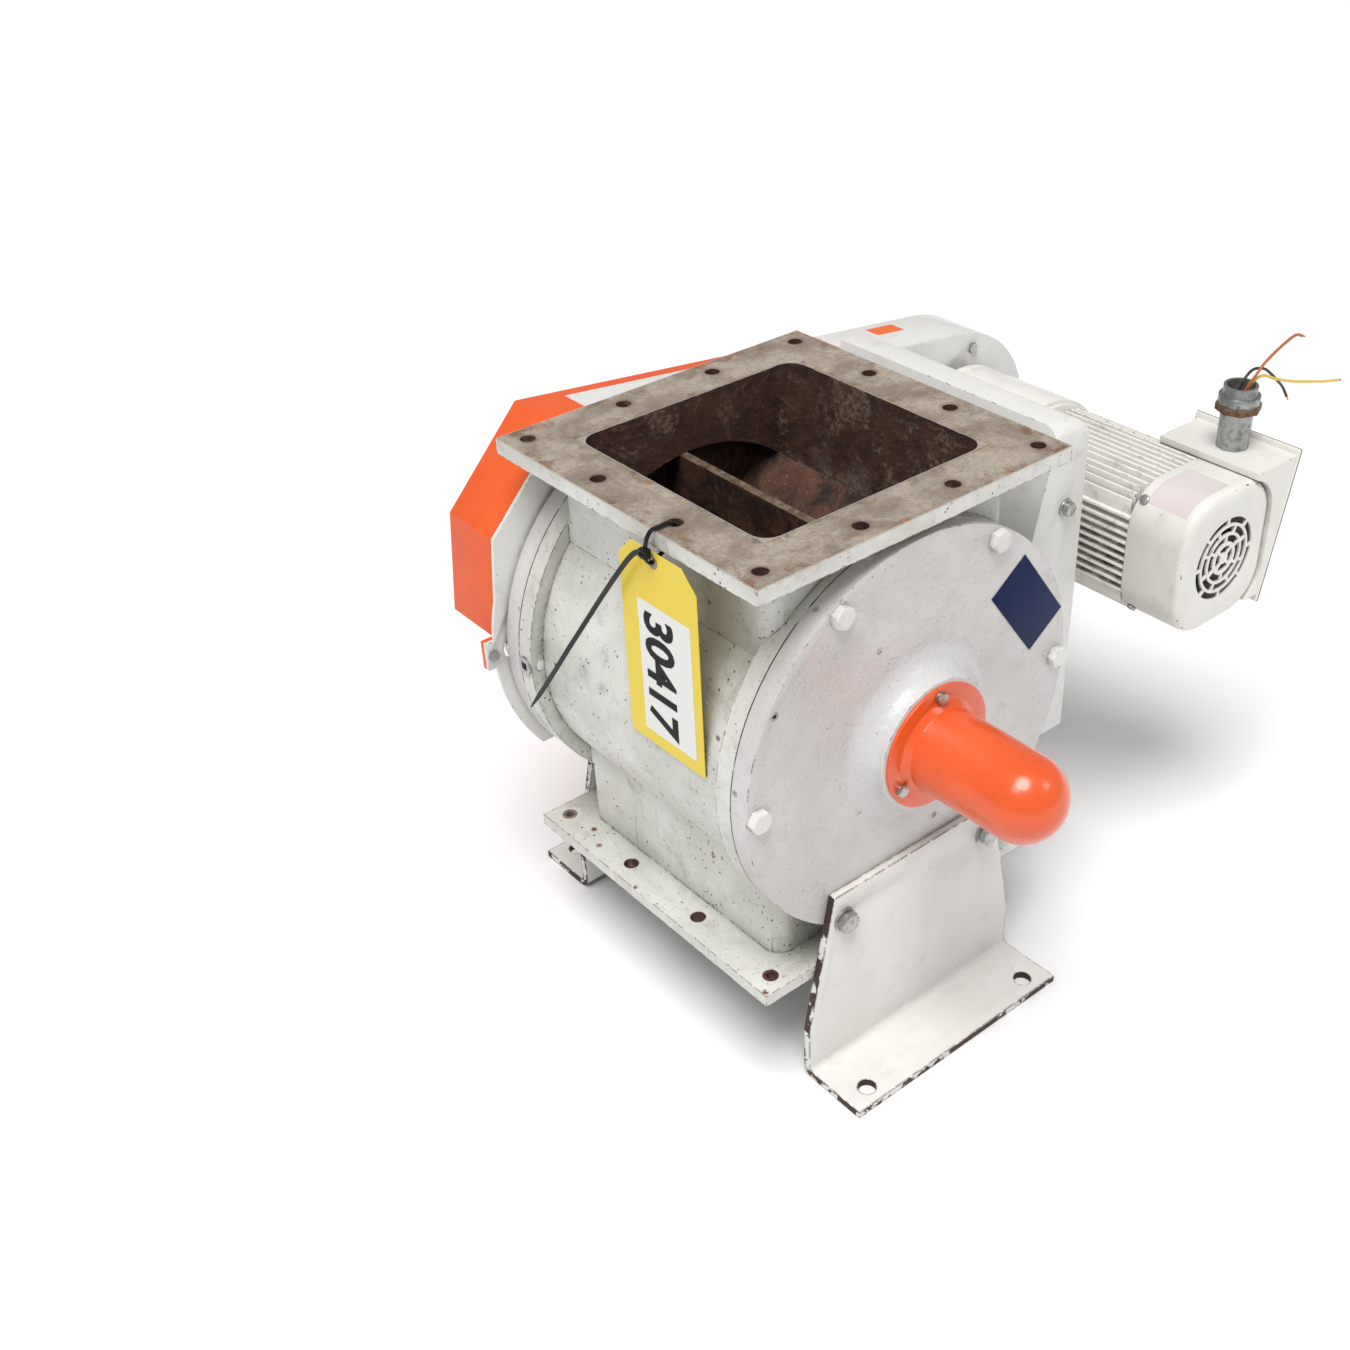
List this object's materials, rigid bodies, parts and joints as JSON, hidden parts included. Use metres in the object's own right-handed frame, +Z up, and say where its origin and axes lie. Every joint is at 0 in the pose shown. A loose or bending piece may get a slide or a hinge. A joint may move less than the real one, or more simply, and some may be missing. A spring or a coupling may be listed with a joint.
{
  "type": "rotary airlock valve",
  "caption": "Square-flanged rotary airlock valve with a vaned rotor, foot brackets, a guarded roller chain drive and a side-mounted gearmotor.",
  "frame": {"origin": "centre of the underside of the outlet flange", "axes": "+X towards the gearmotor, +Y along the rotor shaft towards the chain drive, +Z up towards the inlet"},
  "size_m": [0.8644, 0.596, 0.5524],
  "materials": {
    "cast_white": "rough cast iron under off-white paint",
    "plate_white": "off-white paint on a machined casting",
    "sheet_white": "semi-gloss white paint on sheet steel",
    "bolt_white": "off-white paint over steel",
    "guard_orange": "semi-matte orange paint",
    "dome_orange": "glossy orange paint",
    "motor_cream": "semi-gloss cream paint",
    "zinc": "bright zinc plating",
    "shaft_steel": "ground steel",
    "gear_steel": "oiled machined steel",
    "chain_steel": "oiled dark steel",
    "bearing_steel": "polished bearing steel",
    "rotor_iron": "rusty iron with ground tips",
    "stator_steel": "varnished laminations",
    "galvanised": "galvanised",
    "nut_rusty": "rusty steel",
    "seal_rubber": "black nitrile",
    "fan_plastic": "moulded",
    "plate_navy": "blank, satin",
    "tag_yellow": "printed card in a clear sleeve",
    "tie_black": "nylon",
    "wire_yellow": "wire insulation",
    "wire_orange": "wire insulation",
    "wire_black": "wire insulation"
  },
  "bodies": {
    "valve_body": {"housing": "cast_white", "front_end_plate": "plate_white", "rear_end_plate": "plate_white", "end_plate_bolts": "bolt_white", "jack_screws": "bolt_white", "purge_plug": "bolt_white", "shaft_seals": "seal_rubber", "bearing_outer_rings": "bearing_steel", "bearing_snap_rings": "gear_steel", "shaft_guard": "dome_orange", "shaft_guard_screws": "zinc", "front_foot_bracket": "sheet_white", "rear_foot_bracket": "sheet_white", "foot_bracket_bolts": "zinc", "foot_bracket_washers": "zinc", "nameplate": "plate_navy", "guard_back_plate": "sheet_white", "guard_spacers": "zinc", "guard_plate_bolts": "zinc", "chain_guard_cover": "guard_orange", "chain_guard_hood": "sheet_white", "guard_screws": "zinc", "terminal_cover_screws": "zinc", "roller_chain": "chain_steel", "drive_mount": "sheet_white", "drive_mount_bolts": "zinc", "mount_clamp_bolt": "zinc", "reducer_housing": "motor_cream", "reducer_cover": "motor_cream", "reducer_bolts": "zinc", "reducer_foot_bolts": "zinc", "output_bearing": "bearing_steel", "motor_stator": "stator_steel", "motor_frame": "motor_cream", "motor_end_bells": "motor_cream", "motor_bearings": "bearing_steel", "fan_cover": "motor_cream", "fan_cover_screws": "zinc", "terminal_box": "motor_cream", "terminal_box_cover": "motor_cream", "conduit_connector": "galvanised", "conduit_locknut": "nut_rusty", "lead_yellow": "wire_yellow", "lead_orange": "wire_orange", "lead_black": "wire_black", "hang_tag": "tag_yellow", "cable_tie": "tie_black"},
    "rotor_assembly": {"rotor": "rotor_iron", "rotor_shaft": "shaft_steel", "bearing_inner_rings": "bearing_steel", "driven_sprocket": "gear_steel", "driven_key": "gear_steel"},
    "output_assembly": {"output_shaft": "gear_steel", "output_gear": "gear_steel", "drive_sprocket": "gear_steel", "drive_key": "gear_steel"},
    "layshaft_assembly": {"layshaft": "gear_steel"},
    "motor_rotor_assembly": {"motor_shaft": "gear_steel", "motor_rotor_core": "stator_steel", "cooling_fan": "fan_plastic"}
  },
  "joints": [
    {"name": "rotor_spin", "type": "hinge", "parent": "valve_body", "child": "rotor_assembly", "pos_m": [0, 0, 0.2175], "axis": [0, 1, 0], "continuous": true, "deforming": ["roller_chain"]},
    {"name": "output_spin", "type": "hinge", "parent": "valve_body", "child": "output_assembly", "pos_m": [0.40895, 0, 0.241], "axis": [0, 1, 0], "continuous": true},
    {"name": "layshaft_spin", "type": "hinge", "parent": "valve_body", "child": "layshaft_assembly", "pos_m": [0.40895, 0, 0.199], "axis": [0, 1, 0], "continuous": true},
    {"name": "motor_spin", "type": "hinge", "parent": "valve_body", "child": "motor_rotor_assembly", "pos_m": [0.40895, 0, 0.241], "axis": [0, 1, 0], "continuous": true}
  ],
  "couplings": [
    {"joint": "output_spin", "follows": "rotor_spin", "ratio": 2},
    {"joint": "layshaft_spin", "follows": "rotor_spin", "ratio": -12},
    {"joint": "motor_spin", "follows": "rotor_spin", "ratio": 72}
  ]
}
